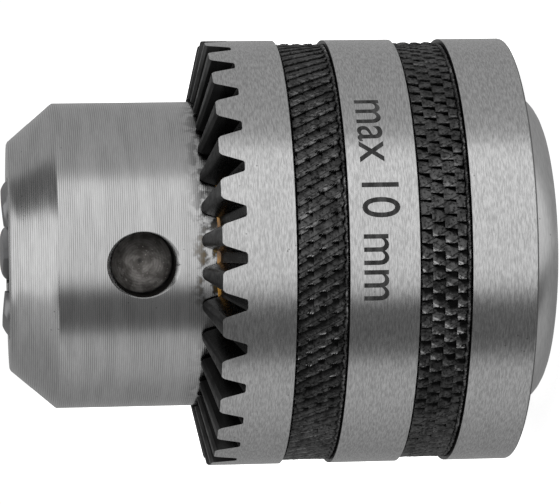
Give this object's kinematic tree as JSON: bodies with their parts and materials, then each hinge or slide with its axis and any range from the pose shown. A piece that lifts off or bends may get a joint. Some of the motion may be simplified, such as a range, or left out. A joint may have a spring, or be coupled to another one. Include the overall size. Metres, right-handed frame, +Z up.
{
  "type": "drill chuck",
  "caption": "Keyed three-jaw drill chuck with a toothed, knurled sleeve, inclined sliding jaws, a split nut on a ball thrust race and a short taper socket.",
  "frame": {"origin": "centre of the flat rear face, where the taper socket opens", "axes": "+Z up the chuck's axis to the nose and jaws; -Y through the middle of the first key hole"},
  "size_m": [0.0426, 0.0426, 0.0539],
  "materials": {
    "turned_steel": "fine turned rings, satin",
    "ground_steel": "circumferentially ground, satin, with blackened knurled bands",
    "hardened_steel": "hardened, dull grey",
    "nut_steel": "machined, oiled",
    "bearing_steel": "polished bearing steel",
    "cage_brass": "stamped brass"
  },
  "bodies": {
    "chuck_body": {"chuck_body": "turned_steel", "thrust_race": "bearing_steel"},
    "sleeve": {"toothed_sleeve": "ground_steel", "split_nut_half_a": "nut_steel", "split_nut_half_b": "nut_steel"},
    "jaw_1": {"jaw_1": "hardened_steel"},
    "jaw_2": {"jaw_2": "hardened_steel"},
    "jaw_3": {"jaw_3": "hardened_steel"},
    "ball_cage": {"ball_cage": "cage_brass", "bearing_ball_01": "bearing_steel", "bearing_ball_02": "bearing_steel", "bearing_ball_03": "bearing_steel", "bearing_ball_04": "bearing_steel", "bearing_ball_05": "bearing_steel", "bearing_ball_06": "bearing_steel", "bearing_ball_07": "bearing_steel", "bearing_ball_08": "bearing_steel", "bearing_ball_09": "bearing_steel", "bearing_ball_10": "bearing_steel", "bearing_ball_11": "bearing_steel", "bearing_ball_12": "bearing_steel", "bearing_ball_13": "bearing_steel", "bearing_ball_14": "bearing_steel", "bearing_ball_15": "bearing_steel", "bearing_ball_16": "bearing_steel", "bearing_ball_17": "bearing_steel", "bearing_ball_18": "bearing_steel", "bearing_ball_19": "bearing_steel", "bearing_ball_20": "bearing_steel"}
  },
  "joints": [
    {"name": "sleeve_turn", "type": "hinge", "parent": "chuck_body", "child": "sleeve", "pos_m": [0, 0, 0.027], "axis": [0, 0, -1], "range_deg": [-889, 3111]},
    {"name": "jaw_1_slide", "type": "slide", "parent": "chuck_body", "child": "jaw_1", "axis": [-0.1948, 0.1125, 0.9744], "range_m": [-0.00445, 0.01556]},
    {"name": "jaw_2_slide", "type": "slide", "parent": "chuck_body", "child": "jaw_2", "axis": [0, -0.225, 0.9744], "range_m": [-0.00445, 0.01556]},
    {"name": "jaw_3_slide", "type": "slide", "parent": "chuck_body", "child": "jaw_3", "axis": [0.1948, 0.1125, 0.9744], "range_m": [-0.00445, 0.01556]},
    {"name": "ball_cage_turn", "type": "hinge", "parent": "chuck_body", "child": "ball_cage", "pos_m": [0, 0, 0.0231], "axis": [0, 0, -1], "range_deg": [-445, 1556]}
  ],
  "couplings": [
    {"joint": "jaw_1_slide", "follows": "sleeve_turn", "m_per_rad": 0.00028648},
    {"joint": "jaw_2_slide", "follows": "sleeve_turn", "m_per_rad": 0.00028648},
    {"joint": "jaw_3_slide", "follows": "sleeve_turn", "m_per_rad": 0.00028648},
    {"joint": "ball_cage_turn", "follows": "sleeve_turn", "ratio": 0.5}
  ]
}
